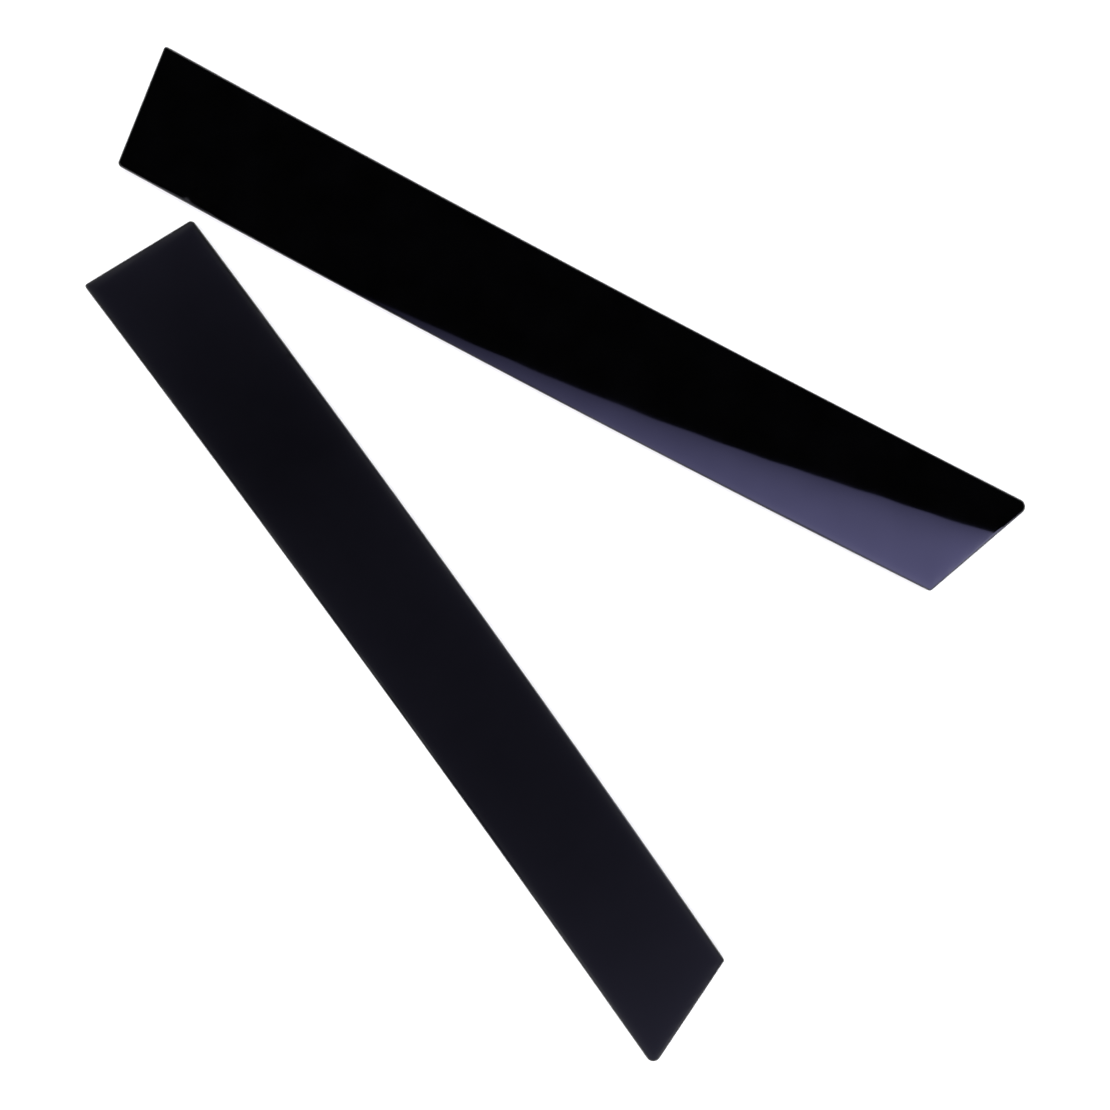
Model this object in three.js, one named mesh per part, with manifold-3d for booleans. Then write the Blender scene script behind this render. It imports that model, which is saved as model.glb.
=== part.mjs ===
// A handed pair of stick-on kick plates: slender gloss black mouldings with one nearly square end and
// one pointed end, each with four strips of foam tape and their release liners on the back.
// Millimetres, +Z up. The pair lies face up on z = 0, fanned out, with the origin under its middle.
import * as THREE from "three";
import { mergeVertices } from "three/addons/utils/BufferGeometryUtils.js";
import Module from "manifold-3d";

// ---- driving dimensions ----
// Outline of one plate, by its sharp corners, before they are rounded.
const LONG_EDGE = 450;
const SQUARE_END_WIDTH = 58.5; // from the long edge to the short edge's corner, at the square end
const POINTED_END_WIDTH = 56.5; // the same at the pointed end
const SQUARE_END_ANGLE = 84.8; // degrees between the long edge and the square end
const POINTED_END_ANGLE = 68.9; // degrees between the long edge and the pointed end
const LONG_EDGE_BOW = 1.9; // both long sides bow the same way, the long edge into the plate
const SHORT_EDGE_BOW = 2.0;
const CORNER_RADIUS = { pointedTip: 3.5, pointedShort: 1.3, squareShort: 2.1, squareLong: 1.4 };

// Section of one plate and of what is stuck to its back.
const LINER_THICKNESS = 0.2;
const TAPE_THICKNESS = 1.1;
const FLOOR_CLEARANCE = 0.4; // under the return rim, while the liners are on
const PLATE_HEIGHT = 3;
const RIM_WIDTH = 1.6;
const ROLLED_EDGE = 0.6; // radius of the top edge, all round

// Foam tape frame on the back.
const TAPE_MARGIN = 4; // from the plate's outline to the tape
const TAPE_WIDTH = 12;
const TAPE_JOINT = 2; // gap where an end strip meets a long strip
const LINER_OVERHANG = 1; // the liner stands out past the tape towards the plate's middle

// Where the two plates lie: each plate's middle, and its turn about Z.
const PLATES = [
  { hand: "right", flip: -1, x: 68.9, y: 143.9, turn: -27.9 },
  { hand: "left", flip: 1, x: 0, y: 0, turn: -54.1 },
];

const LEAST_BOW = 0.1; // a side that bows less than this is made straight
const LEAST_RADIUS = 0.4; // of an inner outline's corners
const SIDE_STEPS = 12; // segments along a bowed side
const CORNER_STEPS = 8; // segments round a corner
const EDGE_STEPS = 5; // segments over the rolled edge
const WELD_DISTANCE = 1e-4; // points closer than this are one

// ---- heights that follow ----
const TAPE_BOTTOM = LINER_THICKNESS;
const TAPE_TOP = TAPE_BOTTOM + TAPE_THICKNESS;
const PLATE_TOP = FLOOR_CLEARANCE + PLATE_HEIGHT;

// ---- outline ----
const radians = THREE.MathUtils.degToRad;
const vec = (x, y) => new THREE.Vector2(x, y);

// The sharp corners: x runs along the long edge from the square end, y from the long edge inwards.
const SHARP = {
  squareLong: vec(0, 0),
  pointedTip: vec(LONG_EDGE, 0),
  pointedShort: vec(LONG_EDGE - POINTED_END_WIDTH / Math.tan(radians(POINTED_END_ANGLE)), POINTED_END_WIDTH),
  squareShort: vec(SQUARE_END_WIDTH / Math.tan(radians(SQUARE_END_ANGLE)), SQUARE_END_WIDTH),
};
const MIDDLE = vec(LONG_EDGE / 2, (SQUARE_END_WIDTH + POINTED_END_WIDTH) / 4);
const EDGES = {
  long: { from: SHARP.squareLong, to: SHARP.pointedTip, bow: LONG_EDGE_BOW },
  pointed: { from: SHARP.pointedTip, to: SHARP.pointedShort, bow: 0 },
  short: { from: SHARP.pointedShort, to: SHARP.squareShort, bow: SHORT_EDGE_BOW },
  square: { from: SHARP.squareShort, to: SHARP.squareLong, bow: 0 },
};

// A straight line beside one edge of the outline, so far inside it.
function lineInside({ edge, inset }) {
  const { from, to } = EDGES[edge];
  const along = to.clone().sub(from).normalize();
  const inwards = vec(-along.y, along.x);
  return { point: from.clone().addScaledVector(inwards, inset), along };
}

function crossing(a, b) {
  const apart = b.point.clone().sub(a.point);
  return a.point.clone().addScaledVector(a.along, apart.cross(b.along) / a.along.cross(b.along));
}

// Points strictly between two corners of a side, bowed towards +y as the edge it follows is. A short
// side is straight.
function bowedSide(start, end, edge) {
  const { from, to, bow } = EDGES[edge];
  const rise = bow * (start.distanceTo(end) / from.distanceTo(to)) ** 2;
  const steps = rise > LEAST_BOW ? SIDE_STEPS : 1;
  const points = [];
  for (let i = 1; i < steps; i += 1) {
    const t = i / steps;
    points.push(start.clone().lerp(end, t).add(vec(0, 4 * rise * t * (1 - t))));
  }
  return points;
}

// An arc in place of the corner between the sides that come from before and go to after.
function roundedCorner(before, corner, after, radius) {
  if (!radius) return [corner];
  const arriving = corner.clone().sub(before).normalize();
  const leaving = after.clone().sub(corner).normalize();
  const turned = Math.acos(arriving.dot(leaving));
  const centre = corner.clone().addScaledVector(arriving, -radius * Math.tan(turned / 2));
  centre.add(vec(-arriving.y, arriving.x).multiplyScalar(radius));
  const points = [];
  for (let i = 0; i <= CORNER_STEPS; i += 1) {
    const angle = arriving.angle() - Math.PI / 2 + (turned * i) / CORNER_STEPS;
    points.push(centre.clone().add(vec(Math.cos(angle), Math.sin(angle)).multiplyScalar(radius)));
  }
  return points;
}

// The region bounded by four lines, each so far inside one edge. bounds go anticlockwise, from the side
// nearest the long edge; radii are those of the corners where each bound ends.
function region(bounds, radii, flip) {
  const lines = bounds.map(lineInside);
  const corners = lines.map((line, i) => crossing(line, lines[(i + 1) % 4]));
  const points = [];
  for (let i = 0; i < 4; i += 1) {
    const before = corners[(i + 3) % 4];
    points.push(...bowedSide(before, corners[i], bounds[i].edge));
    points.push(...roundedCorner(before, corners[i], corners[(i + 1) % 4], radii[i]));
  }
  return new THREE.Shape(points.map((p) => p.sub(MIDDLE)).map((p) => vec(p.x, flip * p.y)));
}

// The plate's outline, moved inwards all round.
function outline(inset, flip) {
  const bounds = ["long", "pointed", "short", "square"].map((edge) => ({ edge, inset }));
  const { pointedTip, pointedShort, squareShort, squareLong } = CORNER_RADIUS;
  const outermost = [pointedTip, pointedShort, squareShort, squareLong];
  const radii = outermost.map((radius) => Math.max(radius - inset, LEAST_RADIUS));
  return region(bounds, radii, flip);
}

// ---- solids ----
const wasm = await Module();
wasm.setup();

function toSolid(geometry) {
  const bare = geometry.clone();
  bare.deleteAttribute("normal");
  bare.deleteAttribute("uv");
  const merged = mergeVertices(bare, WELD_DISTANCE);
  const vertProperties = new Float32Array(merged.attributes.position.array);
  const triVerts = new Uint32Array(merged.index.array);
  return new wasm.Manifold(new wasm.Mesh({ numProp: 3, vertProperties, triVerts }));
}

function toGeometry(solid) {
  const mesh = solid.getMesh();
  const geometry = new THREE.BufferGeometry();
  geometry.setAttribute("position", new THREE.BufferAttribute(mesh.vertProperties, 3));
  geometry.setIndex(new THREE.BufferAttribute(mesh.triVerts, 1));
  geometry.computeVertexNormals();
  return geometry;
}

// A flat layer from one height to another.
function layer(shape, bottom, top) {
  const slab = new THREE.ExtrudeGeometry(shape, { depth: top - bottom, bevelEnabled: false });
  return slab.translate(0, 0, bottom);
}

// The moulding: rolled over at the top edge, square at the foot of the rim, and hollowed behind.
function plateGeometry(flip) {
  const blank = new THREE.ExtrudeGeometry(outline(0, flip), {
    depth: PLATE_HEIGHT - ROLLED_EDGE,
    bevelThickness: ROLLED_EDGE,
    bevelSize: ROLLED_EDGE,
    bevelOffset: -ROLLED_EDGE,
    bevelSegments: EDGE_STEPS,
  }).translate(0, 0, FLOOR_CLEARANCE);
  const belowRim = new THREE.BoxGeometry(2 * LONG_EDGE, 2 * LONG_EDGE, 2 * ROLLED_EDGE);
  belowRim.translate(0, 0, FLOOR_CLEARANCE - ROLLED_EDGE);
  const recess = layer(outline(RIM_WIDTH, flip), -PLATE_HEIGHT, TAPE_TOP);
  return toGeometry(toSolid(blank).subtract(toSolid(belowRim)).subtract(toSolid(recess)));
}

// ---- materials ----
const plastic = () => new THREE.MeshStandardMaterial({ color: 0x040405, roughness: 0.06, metalness: 0 });
const foam = () => new THREE.MeshStandardMaterial({ color: 0x2c2d2f, roughness: 0.95, metalness: 0 });
const film = () => new THREE.MeshStandardMaterial({ color: 0xa8231c, roughness: 0.35, metalness: 0 });

// ---- the strips of tape, by the four lines that bound each ----
// The liner reaches overhang further towards the plate's middle than the tape does.
function stripBounds(overhang) {
  const outer = TAPE_MARGIN;
  const inner = TAPE_MARGIN + TAPE_WIDTH + overhang;
  const between = TAPE_MARGIN + TAPE_WIDTH + TAPE_JOINT;
  const bound = (edge, inset) => ({ edge, inset });
  const pointed = bound("pointed", outer);
  const square = bound("square", outer);
  const below = bound("long", between);
  const above = bound("short", between);
  return {
    long_edge: [bound("long", outer), pointed, bound("long", inner), square],
    short_edge: [bound("short", inner), pointed, bound("short", outer), square],
    square_end: [below, bound("square", inner), above, square],
    pointed_end: [below, pointed, above, bound("pointed", inner)],
  };
}

function strips(name, overhang, bottom, top, material, flip) {
  const sharp = [0, 0, 0, 0];
  return Object.entries(stripBounds(overhang)).map(([place, bounds]) => {
    const mesh = new THREE.Mesh(layer(region(bounds, sharp, flip), bottom, top), material());
    mesh.name = `${name}_${place}`;
    return mesh;
  });
}

// ---- assembly ----
function kickPlate({ hand, flip, x, y, turn }) {
  const plate = new THREE.Group();
  const moulding = new THREE.Mesh(plateGeometry(flip), plastic());
  moulding.name = `${hand}_face_plate`;
  plate.add(moulding);
  plate.add(...strips(`${hand}_tape`, 0, TAPE_BOTTOM, TAPE_TOP, foam, flip));
  plate.add(...strips(`${hand}_liner`, LINER_OVERHANG, 0, TAPE_BOTTOM, film, flip));
  plate.position.set(x, y, 0);
  plate.rotation.z = radians(turn);
  return plate;
}

const pair = new THREE.Group();
pair.add(...PLATES.map(kickPlate));
const middle = new THREE.Box3().setFromObject(pair, true).getCenter(new THREE.Vector3());
pair.position.set(-middle.x, -middle.y, 0);

export default pair;
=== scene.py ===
# Looks of a handed pair of stick-on kick plates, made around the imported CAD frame. Metres, +Z up.
import math

import bpy
from mathutils import Matrix, Vector, noise


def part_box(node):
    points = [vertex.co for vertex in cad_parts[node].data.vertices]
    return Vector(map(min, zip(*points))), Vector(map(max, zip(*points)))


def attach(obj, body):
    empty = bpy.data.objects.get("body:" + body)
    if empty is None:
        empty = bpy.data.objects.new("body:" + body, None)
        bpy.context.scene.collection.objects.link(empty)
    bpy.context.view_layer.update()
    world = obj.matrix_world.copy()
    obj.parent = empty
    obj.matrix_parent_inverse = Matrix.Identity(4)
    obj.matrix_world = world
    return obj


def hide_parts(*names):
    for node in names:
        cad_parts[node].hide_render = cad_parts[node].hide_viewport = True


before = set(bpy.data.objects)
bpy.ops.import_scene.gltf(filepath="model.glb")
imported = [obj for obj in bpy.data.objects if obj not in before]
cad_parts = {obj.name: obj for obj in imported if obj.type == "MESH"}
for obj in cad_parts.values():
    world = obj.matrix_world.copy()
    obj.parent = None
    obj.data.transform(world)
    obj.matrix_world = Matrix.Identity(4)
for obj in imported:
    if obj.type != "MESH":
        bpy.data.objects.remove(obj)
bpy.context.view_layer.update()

MM = 0.001

# ---- driving dimensions, in millimetres and degrees, as in the CAD ----
LONG_EDGE = 450
SQUARE_END_WIDTH = 58.5
POINTED_END_WIDTH = 56.5
SQUARE_END_ANGLE = 84.8
POINTED_END_ANGLE = 68.9
BOW = {"long": 1.9, "short": 2.0, "pointed": 0, "square": 0}
CORNER_RADII = (1.4, 3.5, 1.3, 2.1)  # where the edges of EDGE_ORDER begin

LINER_TOP = 0.2
TAPE_TOP = 1.3
RIM_FOOT = 0.4
PLATE_TOP = 3.4
RIM_WIDTH = 1.6
ROLLED_EDGE = 0.6
PARTING_LINE = 1.0  # height of the fine step that the mould leaves round the side
FACE_WAVE = 0.012  # a moulded face is never quite flat
FACE_WAVE_LENGTHS = (70, 45)

TAPE_MARGIN = 4
TAPE_WIDTH = 12
TAPE_JOINT = 2
LINER_OVERHANG = 1

PLATES = {"right": {"flip": -1, "turn": -27.9}, "left": {"flip": 1, "turn": -54.1}}

# ---- mesh density ----
GRID = 3  # target spacing of the faces' vertices, in mm
ARC_STEPS = 5  # segments in half a rounded corner
LEAST_RADIUS = 0.2  # of a corner, however far in
SHARP_ANGLE = math.radians(50)

# ---- camera, measured from the middle of the pair ----
AIM = Vector((0.5, 2.1, 3.4)) * MM
CAMERA_DISTANCE = 0.7399
CAMERA_TILT = (-2.41, 1.12)  # degrees about X, then about Y, from looking straight down
LENS = 51.9

# ---- surroundings ----
OVERHEAD = 1.6  # height of the flags and the window card above the floor
OVERHEAD_HALF = 0.9  # half the black flag's side
BLACK_FLAG_GAP = 0.02  # the black flag hangs this far above the other cards
FLOOR_RADIUS = 8.0
FLOOR_SIDES = 96
FLOOR_DROP = 0.00002  # keeps the floor just clear of the liners
SKY_LOW, SKY_HIGH = 0.06, 3.8  # light from the horizon, and what comes on top of it high up
SKY_FULL = 0.6  # height on the unit sphere from which all of that comes
SKY_STEEPNESS = 9
SOFT_BOXES = 6
SOFT_BOX_DISTANCE = 2.6
SOFT_BOX_WIDTH = 1.1
SOFT_BOX_HEIGHTS = (0.4, 2.2)
SOFT_BOX_TURN = 5  # degrees from +X to the first one
SOFT_BOX_LEVEL = 0.45
FACE_REFLECTANCE = 0.04  # of the gloss plastic, seen from straight above

# ---- what the faces mirror: places in mm on the plate, levels as they look on its face ----
RIM_REACH = 1.0  # a face looks paler this near its edges
HAZE_REACH = 6.5  # and a little brighter this near

WINDOW_START = 115  # where the window begins along the right plate
WINDOW_FLARE = (0.0495, 0.0002)  # its width grows with the distance from there, and with its square
WINDOW_MARGIN = 40  # how far it goes on past the short edge
WINDOW_COLUMNS, WINDOW_ROWS = 125, 80
WINDOW_LEVEL = 0.085
WINDOW_RISE = 170  # distance over which its level comes up
WINDOW_FADE = 8  # distance over which it comes up from its own edge, from half its level
WINDOW_RIM, WINDOW_HAZE = 0.07, 0.02
WINDOW_MOTTLE, MOTTLE_LENGTH = 0.07, 14  # unevenness of its level
WINDOW_WOBBLE, WOBBLE_LENGTH = 0.5, 18  # waviness of its own edge
WINDOW_TINT = (1, 0.97, 2.0)

FLAG_MARGIN = 4  # how far the dim flag goes on past the left plate's outline
FLAG_COLUMNS, FLAG_ROWS = 153, 83
FLAG_DARKEST = 125  # where along the left plate it is darkest
FLAG_LEVEL = 0.003
FLAG_RISE_BACK = 0.0012, 75  # what it gains towards the square end, and over what distance
FLAG_RISE_SOON = 0.0017, 40  # what it gains at first towards the pointed end
FLAG_RISE_LATE = 0.0075, 310  # and close to that end
FLAG_RIM, FLAG_HAZE = 0.026, 0.0025
FLAG_TINT = (1, 0.97, 1.6)


# ---------------------------------------------------------------- outline
def corner_points():
    slant = math.radians(POINTED_END_ANGLE)
    lean = math.radians(SQUARE_END_ANGLE)
    return [
        Vector((0, 0)),
        Vector((LONG_EDGE, 0)),
        Vector((LONG_EDGE - POINTED_END_WIDTH / math.tan(slant), POINTED_END_WIDTH)),
        Vector((SQUARE_END_WIDTH / math.tan(lean), SQUARE_END_WIDTH)),
    ]


EDGE_ORDER = ("long", "pointed", "short", "square")
EDGES = {name: (corner_points()[i], corner_points()[(i + 1) % 4]) for i, name in enumerate(EDGE_ORDER)}


def line_inside(edge, inset):
    """A straight line beside an edge, so far inside the outline: a point on it and its direction."""
    start, end = EDGES[edge]
    along = (end - start).normalized()
    return start + inset * Vector((-along.y, along.x)), along


def crossing(a, b):
    apart = b[0] - a[0]
    return a[0] + a[1] * (apart.cross(b[1]) / a[1].cross(b[1]))


def half_arcs(before, corner, after, radius):
    """The rounded corner as two halves that share the point in its middle."""
    arriving = (corner - before).normalized()
    leaving = (after - corner).normalized()
    turned = math.acos(arriving.dot(leaving))
    centre = corner - arriving * radius * math.tan(turned / 2) + radius * Vector((-arriving.y, arriving.x))
    first = math.atan2(arriving.y, arriving.x) - math.pi / 2
    points = []
    for i in range(2 * ARC_STEPS + 1):
        angle = first + turned * i / (2 * ARC_STEPS)
        points.append(centre + radius * Vector((math.cos(angle), math.sin(angle))))
    return points[: ARC_STEPS + 1], points[ARC_STEPS:]


def bowed(start, end, edge, steps):
    """Points from start to end along a side that bows as its edge does."""
    whole = EDGES[edge][1] - EDGES[edge][0]
    rise = BOW[edge] * ((end - start).length / whole.length) ** 2
    points = []
    for i in range(steps + 1):
        t = i / steps
        points.append(start.lerp(end, t) + Vector((0, 4 * rise * t * (1 - t))))
    return points


def sides(bounds, radii, steps):
    """The four sides of a region, each from the middle of one rounded corner to the next one's."""
    lines = [line_inside(edge, inset) for edge, inset in bounds]
    corners = [crossing(lines[i - 1], lines[i]) for i in range(4)]
    arcs = [half_arcs(corners[i - 1], corners[i], corners[(i + 1) % 4], radii[i]) for i in range(4)]
    result = []
    for i, (edge, _) in enumerate(bounds):
        leaving, arriving = arcs[i][1], arcs[(i + 1) % 4][0]
        middle = bowed(leaving[-1], arriving[0], edge, steps[i % 2])
        result.append(leaving[:-1] + middle + arriving[1:])
    return result


class Region:
    """A four-sided patch of the plate's plan. bounds are (edge, inset, sign): a positive sign means that
    the patch lies further in than the line, so the line moves in as the patch shrinks."""

    def __init__(self, bounds, radii, length, width):
        self.bounds, self.radii = bounds, radii
        self.steps = (max(2, round(length / GRID)), max(2, round(width / GRID)))

    def sides(self, shrink):
        bounds = [(edge, inset + sign * shrink) for edge, inset, sign in self.bounds]
        radii = [max(r - shrink, LEAST_RADIUS) for r in self.radii]
        return sides(bounds, radii, self.steps)

    def ring(self, shrink):
        return [p for side in self.sides(shrink) for p in side[:-1]]

    def grid(self, shrink):
        """Rows of points across the patch, blended from its four sides."""
        bottom, right, top, left = self.sides(shrink)
        top, left = top[::-1], left[::-1]
        across, up = len(bottom) - 1, len(left) - 1
        rows = []
        for j in range(up + 1):
            v = j / up
            row = []
            for i in range(across + 1):
                u = i / across
                ruled = bottom[i].lerp(top[i], v) + left[j].lerp(right[j], u)
                row.append(ruled - bottom[0].lerp(bottom[-1], u).lerp(top[0].lerp(top[-1], u), v))
            rows.append(row)
        return rows


def outline_region():
    bounds = [(edge, 0, 1) for edge in EDGE_ORDER]
    return Region(bounds, CORNER_RADII, LONG_EDGE, SQUARE_END_WIDTH)


# ---------------------------------------------------------------- meshes
def closed_skin(region, section, height):
    """Vertices and faces of a slab: a top grid, the rings that section lists as (inset, z) from the top
    face round to the underside, and a bottom grid. height(point, z) sets a face's inner points."""
    verts, faces = [], []

    def add_ring(inset, z):
        first = len(verts)
        ring = region.ring(inset)
        verts.extend((p.x, p.y, z) for p in ring)
        return [first + i for i in range(len(ring))]

    def fill(ring, inset, z, upwards):
        rows = region.grid(inset)
        last_row, last_col = len(rows) - 1, len(rows[0]) - 1
        walk = [(0, i) for i in range(last_col)] + [(j, last_col) for j in range(last_row)]
        walk += [(last_row, i) for i in range(last_col, 0, -1)] + [(j, 0) for j in range(last_row, 0, -1)]
        index = dict(zip(walk, ring))
        for j in range(1, last_row):
            for i in range(1, last_col):
                p = rows[j][i]
                index[(j, i)] = len(verts)
                verts.append((p.x, p.y, height(p, z)))
        for j in range(last_row):
            for i in range(last_col):
                quad = [index[(j, i)], index[(j, i + 1)], index[(j + 1, i + 1)], index[(j + 1, i)]]
                faces.append(quad if upwards else quad[::-1])

    rings = [add_ring(inset, z) for inset, z in section]
    for upper, lower in zip(rings, rings[1:]):
        count = len(upper)
        for i in range(count):
            j = (i + 1) % count
            faces.append([upper[j], upper[i], lower[i], lower[j]])
    fill(rings[0], *section[0], True)
    fill(rings[-1], *section[-1], False)
    return verts, faces


def placement(hand):
    """The turn and shift that put a plate's plan where the CAD plate lies."""
    flip = Matrix(((1, 0), (0, PLATES[hand]["flip"])))
    spin = Matrix.Rotation(math.radians(PLATES[hand]["turn"]), 2) @ flip * MM
    outline = [spin @ p for p in outline_region().ring(0)]
    low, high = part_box(f"{hand}_face_plate")
    shift = [(low[k] + high[k] - min(p[k] for p in outline) - max(p[k] for p in outline)) / 2 for k in (0, 1)]
    return spin, Vector(shift)


PLACEMENTS = {hand: placement(hand) for hand in PLATES}


def place(hand, x, y, z):
    """A point of a plate, in its own plan's millimetres, in the frame."""
    spin, shift = PLACEMENTS[hand]
    return Vector((*(spin @ Vector((x, y)) + shift), z * MM))


def make_piece(name, hand, skin, materials, material_of=None):
    verts, faces = skin
    if PLATES[hand]["flip"] < 0:
        faces = [face[::-1] for face in faces]
    mesh = bpy.data.meshes.new(name)
    mesh.from_pydata([place(hand, *v) for v in verts], [], faces)
    mesh.validate()
    for material in materials:
        mesh.materials.append(material)
    for polygon in mesh.polygons:
        polygon.use_smooth = True
        if material_of:
            polygon.material_index = material_of(polygon)
    piece = bpy.data.objects.new(name, mesh)
    bpy.context.scene.collection.objects.link(piece)
    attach(piece, f"{hand}_plate")
    return piece


def quarter(inset, z, radius, steps, start, end):
    """Points on a rounded edge about (inset, z): start and end are angles in degrees."""
    points = []
    for i in range(steps + 1):
        a = math.radians(start + (end - start) * i / steps)
        points.append((inset + radius * math.cos(a), z + radius * math.sin(a)))
    return points


# ---------------------------------------------------------------- materials
def new_material(name):
    material = bpy.data.materials.new(name)
    material.use_nodes = True
    tree = material.node_tree
    return material, tree, tree.nodes["Principled BSDF"]


def add(tree, kind, inputs=(), **settings):
    node = tree.nodes.new(kind)
    for key, value in settings.items():
        setattr(node, key, value)
    for key, value in dict(inputs).items():
        node.inputs[key].default_value = value
    return node


def object_space(tree):
    """Texture coordinates that stay with the piece, in metres."""
    return add(tree, "ShaderNodeTexCoord").outputs["Object"]


def noise_texture(tree, vector, scale, detail=2.0, roughness=0.5):
    node = add(tree, "ShaderNodeTexNoise", {"Scale": scale, "Detail": detail, "Roughness": roughness})
    tree.links.new(vector, node.inputs["Vector"])
    return node.outputs["Fac"]


def ramp(tree, factor, stops):
    """A colour ramp of (position, colour) stops, with two or more."""
    node = add(tree, "ShaderNodeValToRGB")
    elements = node.color_ramp.elements
    for i, (position, colour) in enumerate(stops):
        element = elements[i] if i < 2 else elements.new(position)
        element.position = position
        element.color = colour
    tree.links.new(factor, node.inputs["Fac"])
    return node.outputs["Color"]


def remap(tree, factor, low, high):
    node = add(tree, "ShaderNodeMapRange", {"To Min": low, "To Max": high})
    tree.links.new(factor, node.inputs["Value"])
    return node.outputs["Result"]


def bump(tree, height, distance, strength=1.0):
    node = add(tree, "ShaderNodeBump", {"Distance": distance, "Strength": strength})
    tree.links.new(height, node.inputs["Height"])
    return node.outputs["Normal"]


def grey(value, blue=1.0):
    """An opaque grey whose blue may be a little stronger or weaker."""
    return (value, value, value * blue, 1)


def gloss_black():
    """Moulded plastic polished like a piano's lid, with the faintest haze."""
    material, tree, shader = new_material("gloss_black_plastic")
    shader.inputs["IOR"].default_value = 1.5
    space = object_space(tree)
    haze = noise_texture(tree, space, 45, detail=3)
    tint = ramp(tree, haze, [(0.35, grey(0.0004, 1.1)), (0.7, grey(0.0007, 1.2))])
    tree.links.new(tint, shader.inputs["Base Color"])
    tree.links.new(remap(tree, haze, 0.012, 0.03), shader.inputs["Roughness"])
    return material


def matt_back():
    """The moulding's back: spark-eroded grain, with flow streaks along the plate."""
    material, tree, shader = new_material("grained_black_plastic")
    space = object_space(tree)
    grain = noise_texture(tree, space, 2600, detail=3, roughness=0.65)
    flow = noise_texture(tree, space, 60, detail=2)
    tree.links.new(ramp(tree, flow, [(0.3, grey(0.012)), (0.75, grey(0.02))]), shader.inputs["Base Color"])
    tree.links.new(remap(tree, grain, 0.42, 0.68), shader.inputs["Roughness"])
    tree.links.new(bump(tree, grain, 0.00006), shader.inputs["Normal"])
    return material


def foam():
    """Closed-cell foam tape: dark grey, matt, with its cut cells showing at the sides."""
    material, tree, shader = new_material("foam_tape")
    space = object_space(tree)
    cells = add(tree, "ShaderNodeTexVoronoi", {"Scale": 2400.0})
    tree.links.new(space, cells.inputs["Vector"])
    mottle = noise_texture(tree, space, 320, detail=3)
    tint = ramp(tree, mottle, [(0.3, grey(0.018, 1.05)), (0.7, grey(0.032, 1.05))])
    tree.links.new(tint, shader.inputs["Base Color"])
    tree.links.new(remap(tree, mottle, 0.82, 0.97), shader.inputs["Roughness"])
    tree.links.new(bump(tree, cells.outputs["Distance"], 0.00012), shader.inputs["Normal"])
    return material


def liner_film():
    """Thin red release film: smooth, a little cloudy, with soft cockles."""
    material, tree, shader = new_material("release_film")
    space = object_space(tree)
    cloud = noise_texture(tree, space, 90, detail=3)
    tint = ramp(tree, cloud, [(0.3, (0.36, 0.018, 0.012, 1)), (0.75, (0.46, 0.028, 0.018, 1))])
    tree.links.new(tint, shader.inputs["Base Color"])
    tree.links.new(remap(tree, cloud, 0.24, 0.36), shader.inputs["Roughness"])
    cockle = noise_texture(tree, space, 160, detail=1)
    tree.links.new(bump(tree, cockle, 0.0002, strength=0.4), shader.inputs["Normal"])
    return material


# ---------------------------------------------------------------- pieces
def unevenness(x, y, length_x, length_y):
    """Smooth noise between about -1 and 1, of such lengths along and across the plate."""
    return noise.noise(Vector((x / length_x, y / length_y, 0)))


def waved(point, z):
    return z + FACE_WAVE * unevenness(point.x, point.y, *FACE_WAVE_LENGTHS)


def flat(point, z):
    return z


def plate_section():
    """From the face, over the rolled edge, down the side, round the rim's foot and into the recess."""
    roll, foot, fillet = ROLLED_EDGE, 0.2, 0.3
    step = 0.05  # how far the side goes in below the parting line
    return [
        (roll + 0.15, PLATE_TOP),
        *quarter(roll, PLATE_TOP - roll, roll, 7, 90, 180),
        (0, PARTING_LINE + 0.03),
        (step, PARTING_LINE),
        *quarter(step + foot, RIM_FOOT + foot, foot, 3, 180, 270),
        *quarter(RIM_WIDTH - foot, RIM_FOOT + foot, foot, 3, 270, 360),
        *quarter(RIM_WIDTH + fillet, TAPE_TOP - fillet, fillet, 3, 180, 90),
        (RIM_WIDTH + fillet + 0.2, TAPE_TOP),
    ]


def gloss_or_back(polygon):
    """Material index: the polish ends just above the rim's foot, and the recess has none."""
    lowest_gloss = (RIM_FOOT + 0.3) * MM
    return int(polygon.normal.z < -0.5 or polygon.center.z < lowest_gloss)


def face_plate(hand, gloss, back):
    skin = closed_skin(outline_region(), plate_section(), waved)
    piece = make_piece(f"{hand}_moulding", hand, skin, [gloss, back], gloss_or_back)
    piece.data.set_sharp_from_angle(angle=SHARP_ANGLE)
    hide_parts(f"{hand}_face_plate")


def strip_regions(overhang):
    """Each strip's bounds, and its rough length along the plate and width across it."""
    outer = TAPE_MARGIN
    inner = TAPE_MARGIN + TAPE_WIDTH + overhang
    between = TAPE_MARGIN + TAPE_WIDTH + TAPE_JOINT
    pointed, square = ("pointed", outer, 1), ("square", outer, 1)
    below, above = ("long", between, 1), ("short", between, 1)
    span = SQUARE_END_WIDTH - 2 * between
    return {
        "long_edge": ([("long", outer, 1), pointed, ("long", inner, -1), square], LONG_EDGE, TAPE_WIDTH),
        "short_edge": ([("short", inner, -1), pointed, ("short", outer, 1), square], LONG_EDGE, TAPE_WIDTH),
        "square_end": ([below, ("square", inner, -1), above, square], TAPE_WIDTH, span),
        "pointed_end": ([below, pointed, above, ("pointed", inner, -1)], TAPE_WIDTH, span),
    }


def strips(hand, kind, overhang, section, material, corner):
    for where, (bounds, length, width) in strip_regions(overhang).items():
        region = Region(bounds, (corner,) * 4, length, width)
        skin = closed_skin(region, section, flat)
        piece = make_piece(f"{hand}_{kind}_strip_{where}", hand, skin, [material])
        piece.data.set_sharp_from_angle(angle=SHARP_ANGLE)
        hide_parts(f"{hand}_{kind}_{where}")


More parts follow.
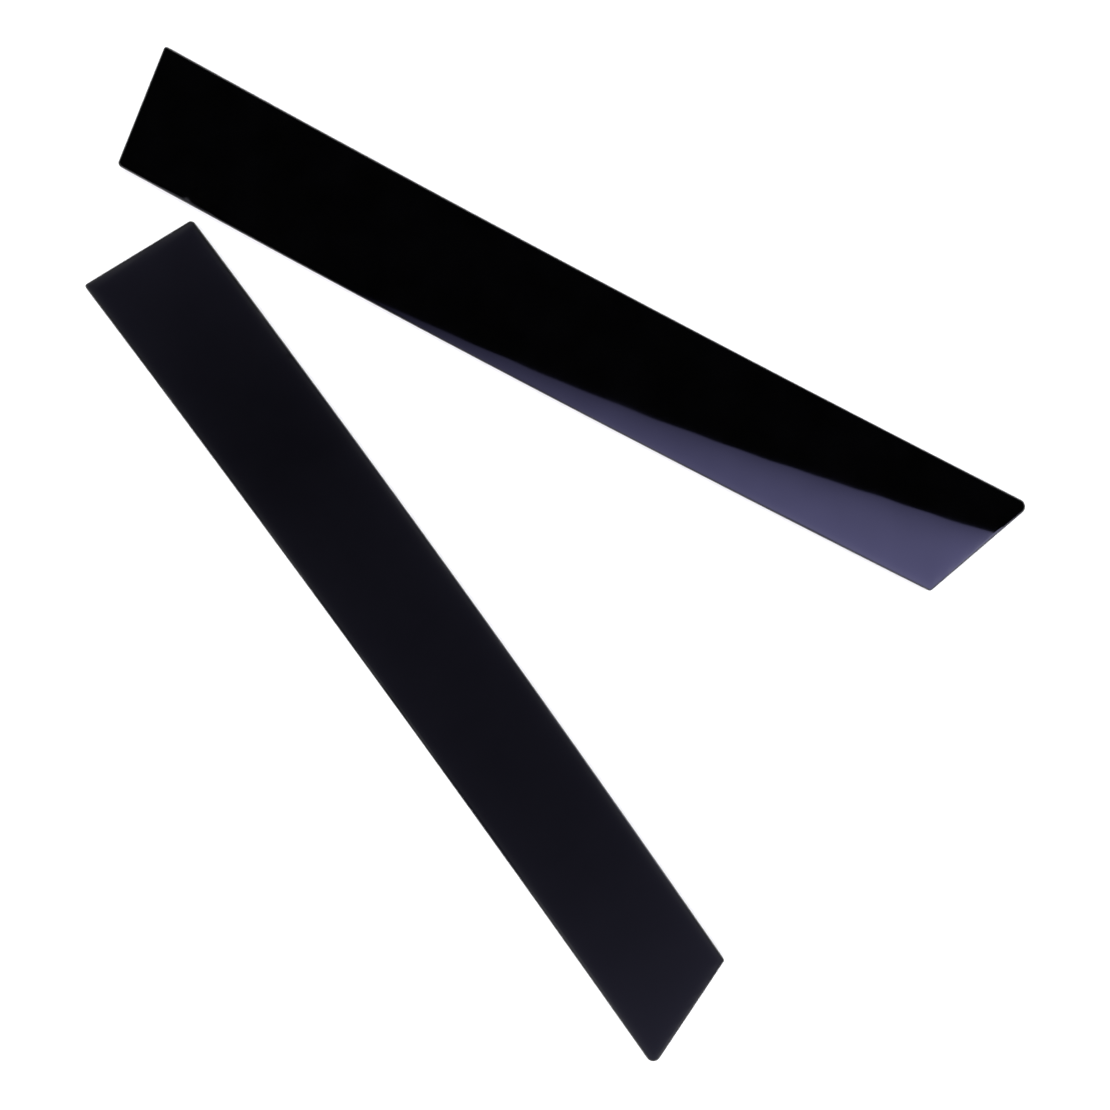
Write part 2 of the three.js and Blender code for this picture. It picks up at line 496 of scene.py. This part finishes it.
def tape_section():
    """Foam is pressed flat above and below and draws in a little at the sides."""
    soft, waist = 0.15, 0.12  # how far the edges and the middle of the side draw in
    middle = (TAPE_TOP + LINER_TOP) / 2
    return [
        (soft, TAPE_TOP),
        (0.04, TAPE_TOP - 0.08),
        (0, TAPE_TOP - 0.2),
        (waist, middle),
        (0, LINER_TOP + 0.2),
        (0.04, LINER_TOP + 0.08),
        (soft, LINER_TOP),
    ]


def liner_section():
    return [(0.05, LINER_TOP), (0, LINER_TOP - 0.05), (0, 0.05), (0.05, 0)]


# ---------------------------------------------------------------- surroundings
def white_floor():
    material, tree, shader = new_material("floor_paint")
    shader.inputs["Base Color"].default_value = (0.9, 0.9, 0.9, 1)
    shader.inputs["Roughness"].default_value = 0.9
    shader.inputs["Specular IOR Level"].default_value = 0
    angles = [2 * math.pi * i / FLOOR_SIDES for i in range(FLOOR_SIDES)]
    ring = [(FLOOR_RADIUS * math.cos(a), FLOOR_RADIUS * math.sin(a), -FLOOR_DROP) for a in angles]
    mesh = bpy.data.meshes.new("floor")
    mesh.from_pydata(ring, [], [list(range(FLOOR_SIDES))])
    mesh.materials.append(material)
    floor = bpy.data.objects.new("floor", mesh)
    bpy.context.scene.collection.objects.link(floor)


def camera_position():
    tilt_x, tilt_y = (math.radians(a) for a in CAMERA_TILT)
    level = math.cos(tilt_x)
    back = Vector((math.sin(tilt_y) * level, -math.sin(tilt_x), math.cos(tilt_y) * level))
    return AIM + back * CAMERA_DISTANCE


def make_camera():
    data = bpy.data.cameras.new("camera")
    data.sensor_width = 36
    data.lens = LENS
    data.clip_start, data.clip_end = 0.01, 50
    camera = bpy.data.objects.new("camera", data)
    camera.location = camera_position()
    camera.rotation_euler = (math.radians(CAMERA_TILT[0]), math.radians(CAMERA_TILT[1]), 0)
    bpy.context.scene.collection.objects.link(camera)
    bpy.context.scene.camera = camera


def seen_overhead(hand, x, y):
    """Where the camera, looking at a point of a plate's face, sees the overhead plane reflected."""
    face = place(hand, x, y, PLATE_TOP)
    eye = camera_position()
    reach = (OVERHEAD - face.z) / (eye.z - face.z)
    return (face.x + (face.x - eye.x) * reach, face.y + (face.y - eye.y) * reach, OVERHEAD)


def depth_inside(x, y):
    """Distance from the nearest edge of the outline, in millimetres: negative outside it."""
    depths = []
    for edge in EDGE_ORDER:
        start, along = line_inside(edge, 0)
        inwards = Vector((-along.y, along.x))
        offset = Vector((x, y)) - start
        t = offset.dot(along) / (EDGES[edge][1] - start).length
        depths.append(offset.dot(inwards) - 4 * BOW[edge] * t * (1 - t) * inwards.y)
    return min(depths)


def short_edge_at(x):
    t = x / LONG_EDGE
    straight = SQUARE_END_WIDTH + (POINTED_END_WIDTH - SQUARE_END_WIDTH) * t
    return straight + 4 * BOW["short"] * t * (1 - t)


def glow_material():
    material = bpy.data.materials.new("glow")
    material.use_nodes = True
    tree = material.node_tree
    tree.nodes.clear()
    attribute = add(tree, "ShaderNodeAttribute", attribute_name="glow")
    emission = add(tree, "ShaderNodeEmission")
    output = add(tree, "ShaderNodeOutputMaterial")
    tree.links.new(attribute.outputs["Color"], emission.inputs["Color"])
    tree.links.new(emission.outputs["Emission"], output.inputs["Surface"])
    return material


def glowing_card(name, rows, colours, material):
    """A card out of the camera's sight: rows of points, and the light that each point gives."""
    across = len(rows[0])
    faces = []
    for j in range(len(rows) - 1):
        for i in range(across - 1):
            first = j * across + i
            faces.append((first, first + 1, first + across + 1, first + across))
    mesh = bpy.data.meshes.new(name)
    mesh.from_pydata([point for row in rows for point in row], [], faces)
    glow = mesh.color_attributes.new("glow", "FLOAT_COLOR", "POINT")
    for k, colour in enumerate(c for row in colours for c in row):
        glow.data[k].color = (*colour, 1)
    mesh.materials.append(material)
    card = bpy.data.objects.new(name, mesh)
    card.visible_camera = False
    bpy.context.scene.collection.objects.link(card)


def spread(low, high, count):
    """Evenly spaced numbers from low to high, with so many steps between them."""
    return [low + (high - low) * i / count for i in range(count + 1)]


def card_light(level, rim, haze, depth, tint):
    """What a card gives off for a face to show this level there, with a tinted haze and a white rim
    along the face's edges."""
    depth = max(depth, 0)
    coloured = level + haze * math.exp(-depth / HAZE_REACH)
    white = rim * math.exp(-depth / RIM_REACH)
    return tuple((coloured * k + white) / FACE_REFLECTANCE for k in tint)


def black_flag(glow):
    """Keeps the faces black, as the dim ceiling does over the real ones."""
    half = OVERHEAD_HALF
    corners = [[(x, y, OVERHEAD + BLACK_FLAG_GAP) for x in (-half, half)] for y in (-half, half)]
    glowing_card("black_flag", corners, [[(0, 0, 0)] * 2] * 2, glow)


def window_card(glow):
    """A dull blue window, mirrored by the right plate in a band that widens along its short edge."""
    rows, colours = [], []
    for x in spread(WINDOW_START, LONG_EDGE + WINDOW_MARGIN, WINDOW_COLUMNS):
        run = x - WINDOW_START
        width = WINDOW_FLARE[0] * run + WINDOW_FLARE[1] * run**2
        width += WINDOW_WOBBLE * unevenness(x, 0, WOBBLE_LENGTH, 1)
        risen = 1 - math.exp(-run / WINDOW_RISE)
        full = WINDOW_LEVEL * risen
        rim, haze = WINDOW_RIM * risen**2, WINDOW_HAZE * risen**2
        row, tones = [], []
        for i in range(WINDOW_ROWS + 1):
            within = (width + WINDOW_MARGIN) * i / WINDOW_ROWS
            y = short_edge_at(x) - width + within
            level = full * (1 - 0.5 * math.exp(-within / WINDOW_FADE))
            level *= 1 + WINDOW_MOTTLE * unevenness(x, y, MOTTLE_LENGTH, MOTTLE_LENGTH)
            row.append(seen_overhead("right", x, y))
            tones.append(card_light(level, rim, haze, depth_inside(x, y), WINDOW_TINT))
        rows.append(row)
        colours.append(tones)
    glowing_card("window", rows, colours, glow)


def flag_level(x):
    """The left plate is darkest a quarter of the way along, and brightens most near its pointed end."""
    past = x - FLAG_DARKEST
    if past < 0:
        gain, reach = FLAG_RISE_BACK
        return FLAG_LEVEL + gain * (past / reach) ** 2
    gain_soon, reach_soon = FLAG_RISE_SOON
    gain_late, reach_late = FLAG_RISE_LATE
    return FLAG_LEVEL + gain_soon * (1 - math.exp(-past / reach_soon)) + gain_late * (past / reach_late) ** 5


def dim_flag(glow):
    """Not quite black, and a little uneven: what the left plate mirrors."""
    rows, colours = [], []
    for x in spread(-FLAG_MARGIN, LONG_EDGE + FLAG_MARGIN, FLAG_COLUMNS):
        row, tones = [], []
        for y in spread(-FLAG_MARGIN, SQUARE_END_WIDTH + FLAG_MARGIN, FLAG_ROWS):
            row.append(seen_overhead("left", x, y))
            tones.append(card_light(flag_level(x), FLAG_RIM, FLAG_HAZE, depth_inside(x, y), FLAG_TINT))
        rows.append(row)
        colours.append(tones)
    glowing_card("dim_flag", rows, colours, glow)


def sky_level(point):
    """The light that make_world's sky gives in a point's direction."""
    return SKY_LOW + SKY_HIGH * min(point.normalized().z / SKY_FULL, 1) ** SKY_STEEPNESS


def soft_boxes(glow):
    """Upright soft boxes all round, for the gloss to catch from the side. They fade into the sky."""
    steps = spread(-1, 1, 16)
    low, high = SOFT_BOX_HEIGHTS
    for i in range(SOFT_BOXES):
        heading = math.radians(SOFT_BOX_TURN + 360 * i / SOFT_BOXES)
        out = Vector((math.cos(heading), math.sin(heading), 0))
        sideways = Vector((-out.y, out.x, 0)) * SOFT_BOX_WIDTH / 2
        rows, colours = [], []
        for v in steps:
            height = Vector((0, 0, low + (high - low) * (v + 1) / 2))
            row = [out * SOFT_BOX_DISTANCE + sideways * u + height for u in steps]
            bulges = [SOFT_BOX_LEVEL * (1 - u**2) ** 2 * (1 - v**2) ** 2 for u in steps]
            rows.append(row)
            colours.append([(sky_level(point) + bulge,) * 3 for point, bulge in zip(row, bulges)])
        glowing_card(f"soft_box_{i}", rows, colours, glow)


def make_world():
    """A white room, lit from high up all round. Its low part is dark for everything but the camera."""
    world = bpy.data.worlds.new("studio")
    bpy.context.scene.world = world
    world.use_nodes = True
    tree = world.node_tree
    coordinates = add(tree, "ShaderNodeTexCoord")
    split = add(tree, "ShaderNodeSeparateXYZ")
    rise = add(tree, "ShaderNodeMapRange", {"From Min": 0, "From Max": SKY_FULL})
    steep = add(tree, "ShaderNodeMath", {1: SKY_STEEPNESS}, operation="POWER")
    level = add(tree, "ShaderNodeMath", {1: SKY_HIGH, 2: SKY_LOW}, operation="MULTIPLY_ADD")
    tree.links.new(coordinates.outputs["Generated"], split.inputs["Vector"])
    tree.links.new(split.outputs["Z"], rise.inputs["Value"])
    tree.links.new(rise.outputs["Result"], steep.inputs[0])
    tree.links.new(steep.outputs["Value"], level.inputs[0])
    seen = add(tree, "ShaderNodeLightPath")
    white = add(tree, "ShaderNodeMix", {"B": 1.0}, data_type="FLOAT")
    tree.links.new(seen.outputs["Is Camera Ray"], white.inputs["Factor"])
    tree.links.new(level.outputs["Value"], white.inputs["A"])
    tree.links.new(white.outputs["Result"], tree.nodes["Background"].inputs["Strength"])
    tree.nodes["Background"].inputs["Color"].default_value = (1, 1, 1, 1)


# ---------------------------------------------------------------- the scene
make_camera()
gloss, back, tape, film = gloss_black(), matt_back(), foam(), liner_film()
for hand in PLATES:
    face_plate(hand, gloss, back)
    strips(hand, "tape", 0, tape_section(), tape, 0.5)
    strips(hand, "liner", LINER_OVERHANG, liner_section(), film, 1.0)
white_floor()
glow = glow_material()
black_flag(glow)
window_card(glow)
dim_flag(glow)
soft_boxes(glow)
make_world()
bpy.context.scene.view_settings.view_transform = "Standard"
